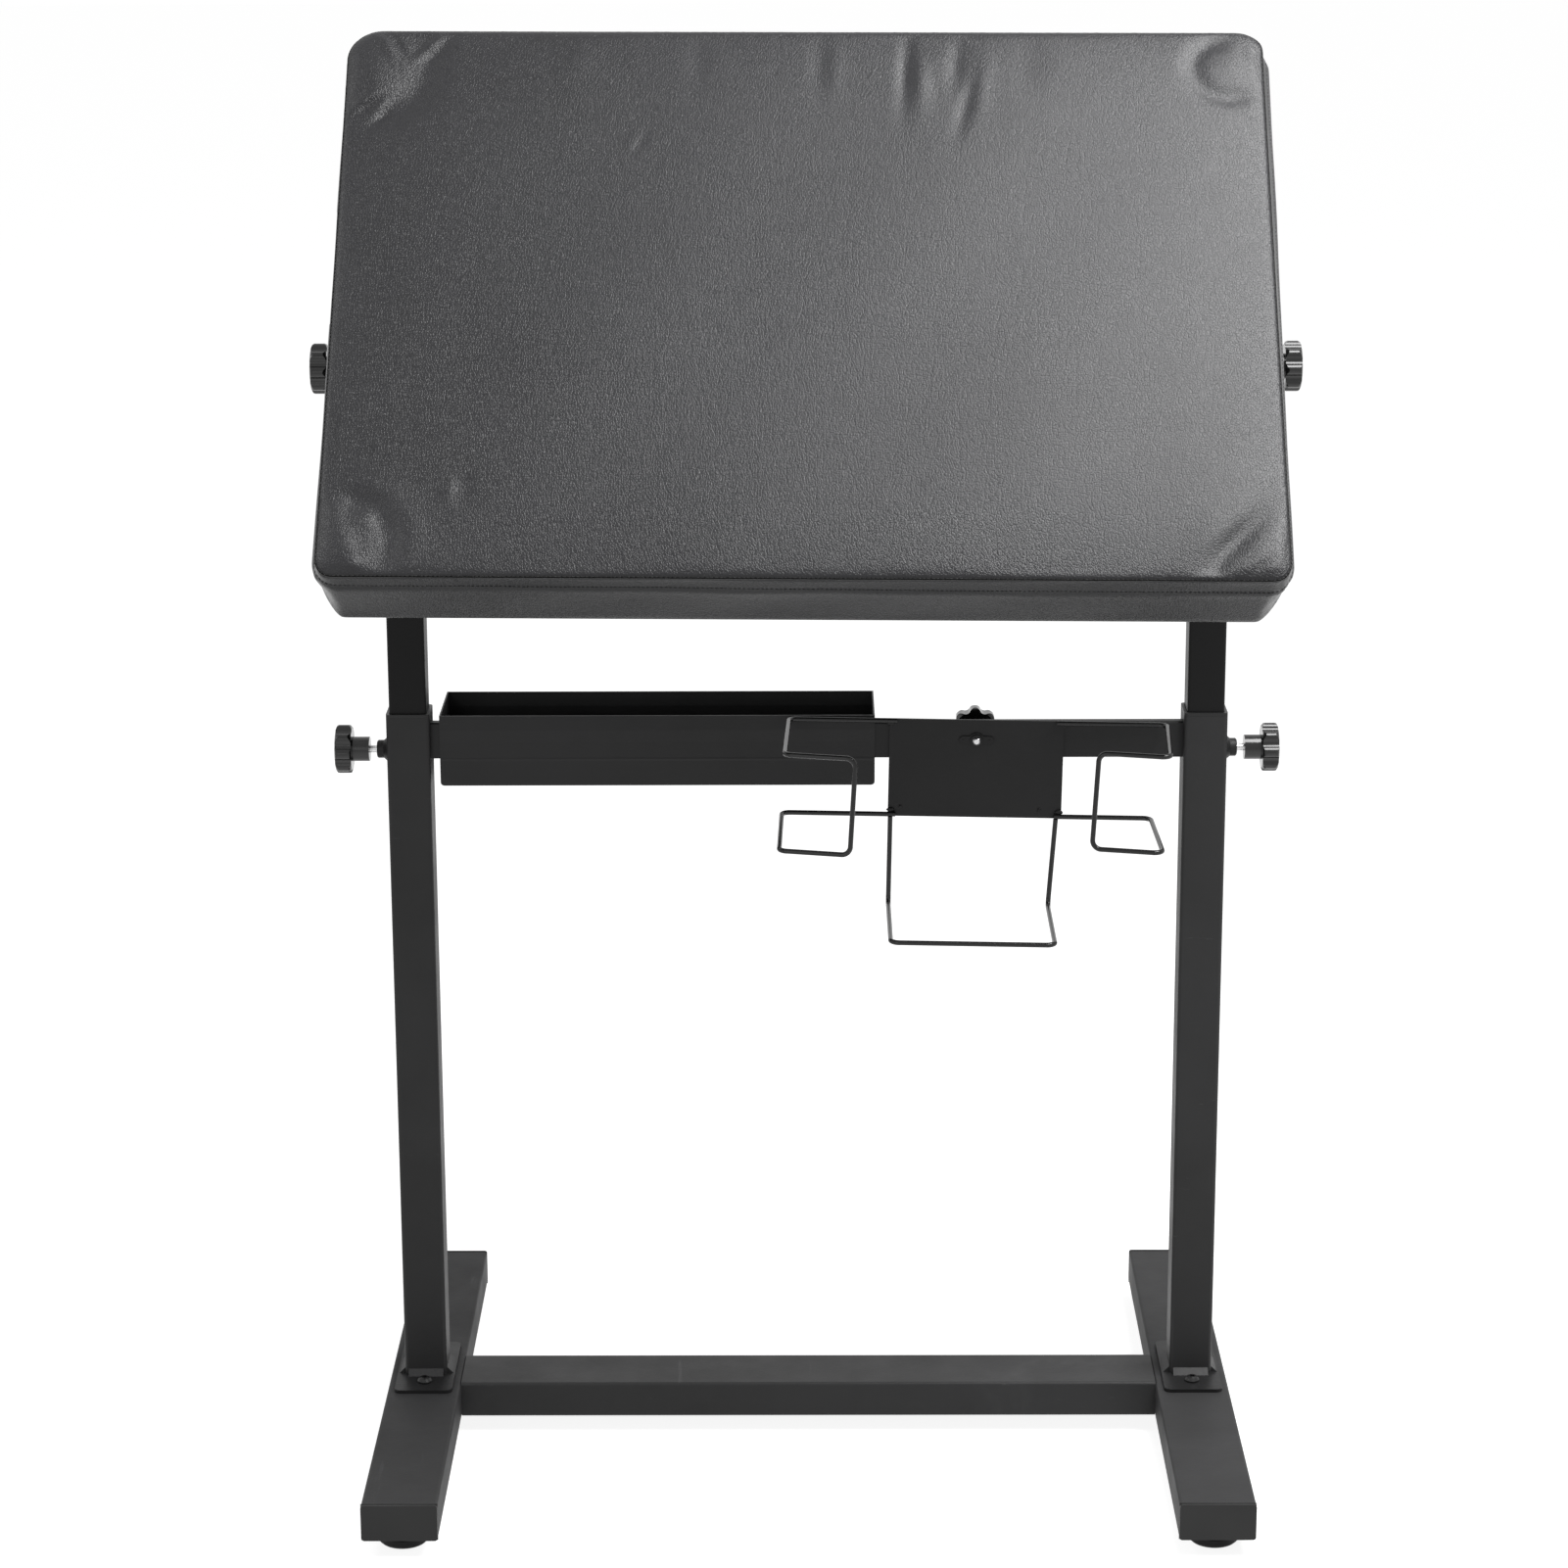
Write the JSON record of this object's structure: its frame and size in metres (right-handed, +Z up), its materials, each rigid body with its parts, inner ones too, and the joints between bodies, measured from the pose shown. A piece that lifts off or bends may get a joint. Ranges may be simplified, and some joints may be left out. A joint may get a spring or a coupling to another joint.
{
  "type": "tattoo arm rest stand",
  "caption": "Freestanding padded arm rest on a height-adjustable steel frame, tilting on star knobs, with an open tray and a wire bottle holder on its upper bar.",
  "frame": {"origin": "centre of the footprint on the floor, midway between the two floor rails", "axes": "+Z up; +X to the right seen from the front; -Y towards the front, where the low edge of the pad and the bottle holder are"},
  "size_m": [0.7776, 0.53, 1.1444],
  "materials": {
    "powder_coat": "satin black powder coat over welded steel tube",
    "powder_coat_dark": null,
    "wire_coat": "gloss black coating on round steel wire",
    "black_plastic": "moulded black plastic, satin",
    "knob_plastic": "gloss black moulded plastic",
    "glide_rubber": "black rubber-faced glide",
    "zinc": "bright zinc-plated steel",
    "black_screw": "black oxide screw",
    "leather": "charcoal artificial leather, fine pebble grain, satin sheen",
    "foam": "cream upholstery foam",
    "plywood": "raw plywood",
    "dust_cloth": "black non-woven dust cloth",
    "zip_tape": "black zip tape and moulded teeth"
  },
  "bodies": {
    "base": {"left_rail": "powder_coat", "right_rail": "powder_coat", "rail_end_caps": "black_plastic", "floor_glides": "glide_rubber", "crossbar": "powder_coat", "crossbar_end_plates": "powder_coat_dark", "crossbar_bolts": "black_screw", "left_base_plate": "powder_coat", "right_base_plate": "powder_coat", "base_plate_screws": "black_screw", "base_plate_nuts": "zinc", "left_lower_upright": "powder_coat", "right_lower_upright": "powder_coat", "left_bush": "black_plastic", "right_bush": "black_plastic", "left_clamp_boss": "powder_coat_dark", "right_clamp_boss": "powder_coat_dark", "upper_bar": "powder_coat", "tray": "powder_coat"},
    "mast": {"left_upper_upright": "powder_coat_dark", "right_upper_upright": "powder_coat_dark", "upright_top_caps": "black_plastic", "left_pivot_boss": "powder_coat_dark", "right_pivot_boss": "powder_coat_dark"},
    "table": {"pad_board": "plywood", "pad_foam": "foam", "pad_cover": "leather", "pad_dust_cover": "dust_cloth", "zip_chain": "zip_tape", "zip_slider": "zinc", "zip_pull": "zinc", "left_tilt_bracket": "powder_coat_dark", "right_tilt_bracket": "powder_coat_dark", "bracket_screws": "zinc", "tilt_washers": "zinc"},
    "holder": {"holder_plate": "powder_coat_dark", "holder_weld_nut": "powder_coat_dark", "left_bottle_loop": "wire_coat", "right_bottle_loop": "wire_coat", "centre_loop": "wire_coat"},
    "left_height_screw": {"left_height_stud": "zinc"},
    "left_height_grip": {"left_height_knob": "knob_plastic"},
    "right_height_screw": {"right_height_stud": "zinc"},
    "right_height_grip": {"right_height_knob": "knob_plastic"},
    "left_tilt_screw": {"left_tilt_stud": "zinc"},
    "left_tilt_grip": {"left_tilt_knob": "knob_plastic"},
    "right_tilt_screw": {"right_tilt_stud": "zinc"},
    "right_tilt_grip": {"right_tilt_knob": "knob_plastic"},
    "holder_screw": {"holder_stud": "zinc"},
    "holder_grip": {"holder_knob": "knob_plastic"}
  },
  "joints": [
    {"name": "height_slide", "type": "slide", "parent": "base", "child": "mast", "axis": [0, 0, 1], "range_m": [-0.1, 0.1]},
    {"name": "table_tilt", "type": "hinge", "parent": "mast", "child": "table", "pos_m": [0, 0, 0.896], "axis": [1, 0, 0], "range_deg": [-48.7, 11]},
    {"name": "holder_turn", "type": "hinge", "parent": "base", "child": "holder", "pos_m": [0.1365, 0, 0.595], "axis": [0, 1, 0], "range_deg": [-8, 8]},
    {"name": "left_height_stud_travel", "type": "slide", "parent": "base", "child": "left_height_screw", "axis": [-1, 0, 0], "range_m": [0, 0.0015]},
    {"name": "left_height_knob_turn", "type": "hinge", "parent": "left_height_screw", "child": "left_height_grip", "pos_m": [-0.36, 0, 0.586], "axis": [-1, 0, 0], "range_deg": [0, 540]},
    {"name": "right_height_stud_travel", "type": "slide", "parent": "base", "child": "right_height_screw", "axis": [1, 0, 0], "range_m": [0, 0.0015]},
    {"name": "right_height_knob_turn", "type": "hinge", "parent": "right_height_screw", "child": "right_height_grip", "pos_m": [0.36, 0, 0.586], "axis": [1, 0, 0], "range_deg": [0, 540]},
    {"name": "left_tilt_stud_travel", "type": "slide", "parent": "mast", "child": "left_tilt_screw", "axis": [-1, 0, 0], "range_m": [0, 0.0015]},
    {"name": "left_tilt_knob_turn", "type": "hinge", "parent": "left_tilt_screw", "child": "left_tilt_grip", "pos_m": [-0.37, 0, 0.896], "axis": [-1, 0, 0], "range_deg": [0, 540]},
    {"name": "right_tilt_stud_travel", "type": "slide", "parent": "mast", "child": "right_tilt_screw", "axis": [1, 0, 0], "range_m": [0, 0.0015]},
    {"name": "right_tilt_knob_turn", "type": "hinge", "parent": "right_tilt_screw", "child": "right_tilt_grip", "pos_m": [0.37, 0, 0.896], "axis": [1, 0, 0], "range_deg": [0, 540]},
    {"name": "holder_stud_travel", "type": "slide", "parent": "base", "child": "holder_screw", "axis": [0, 1, 0], "range_m": [0, 0.0015]},
    {"name": "holder_knob_turn", "type": "hinge", "parent": "holder_screw", "child": "holder_grip", "pos_m": [0.1365, 0.02, 0.595], "axis": [0, 1, 0], "range_deg": [0, 540]}
  ],
  "couplings": [
    {"joint": "left_height_stud_travel", "follows": "left_height_knob_turn", "m_per_rad": 0.00015915},
    {"joint": "right_height_stud_travel", "follows": "right_height_knob_turn", "m_per_rad": 0.00015915},
    {"joint": "left_tilt_stud_travel", "follows": "left_tilt_knob_turn", "m_per_rad": 0.00015915},
    {"joint": "right_tilt_stud_travel", "follows": "right_tilt_knob_turn", "m_per_rad": 0.00015915},
    {"joint": "holder_stud_travel", "follows": "holder_knob_turn", "m_per_rad": 0.00015915}
  ]
}
